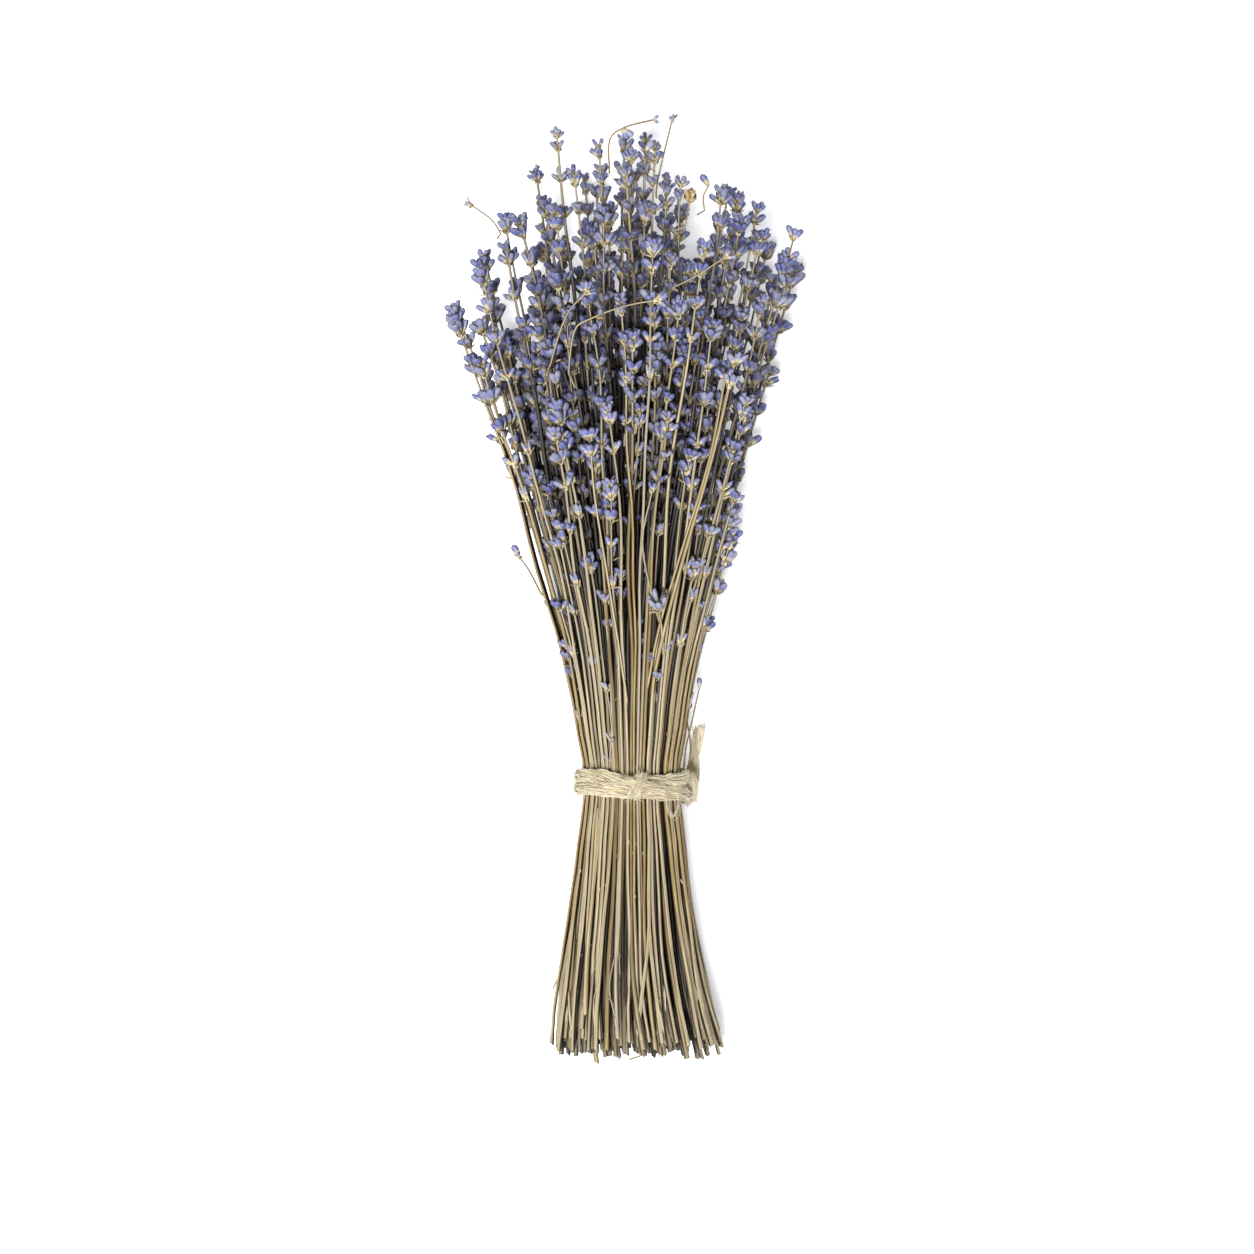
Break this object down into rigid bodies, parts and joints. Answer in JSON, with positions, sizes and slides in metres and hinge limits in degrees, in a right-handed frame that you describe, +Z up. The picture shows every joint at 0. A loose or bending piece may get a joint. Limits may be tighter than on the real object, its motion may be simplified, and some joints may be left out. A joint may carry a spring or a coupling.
{
  "type": "bunch of dried lavender",
  "caption": "Tied bunch of dried lavender lying on its side, flower heads fanned out above a twine tie and cut stem ends below.",
  "frame": {"origin": "on the surface that the bunch lies on, under the middle of the lower wrap of twine", "axes": "+Y along the stems towards the flower heads, +Z up from the surface, +X to the side with the twine's free tail"},
  "size_m": [0.1541, 0.4021, 0.1005],
  "materials": {
    "dried_stem": "matte",
    "lavender_calyx": "matte",
    "dried_bract": "matte",
    "jute_twine": "matte"
  },
  "bodies": {
    "root": {"sprigs_01": "dried_stem", "sprigs_02": "dried_stem", "sprigs_03": "dried_stem", "sprigs_04": "dried_stem", "sprigs_05": "dried_stem", "sprigs_06": "dried_stem", "sprigs_07": "dried_stem", "sprigs_08": "dried_stem", "sprigs_09": "dried_stem", "sprigs_10": "dried_stem", "sprigs_11": "dried_stem", "sprigs_12": "dried_stem", "sprigs_13": "dried_stem", "sprigs_14": "dried_stem", "sprigs_15": "dried_stem", "sprigs_16": "dried_stem", "sprigs_17": "dried_stem", "sprigs_18": "dried_stem", "sprigs_19": "dried_stem", "sprigs_20": "dried_stem", "sprigs_21": "dried_stem", "sprigs_22": "dried_stem", "sprigs_23": "dried_stem", "sprigs_24": "dried_stem", "sprigs_25": "dried_stem", "sprigs_26": "dried_stem", "sprigs_27": "dried_stem", "sprigs_28": "dried_stem", "sprigs_29": "dried_stem", "sprigs_30": "dried_stem", "sprigs_31": "dried_stem", "sprigs_32": "dried_stem", "sprigs_33": "dried_stem", "sprigs_34": "dried_stem", "sprigs_35": "dried_stem", "sprigs_36": "dried_stem", "sprigs_37": "dried_stem", "sprigs_38": "dried_stem", "sprigs_39": "dried_stem", "twine_tie": "jute_twine", "twine_tail": "jute_twine"}
  },
  "joints": []
}
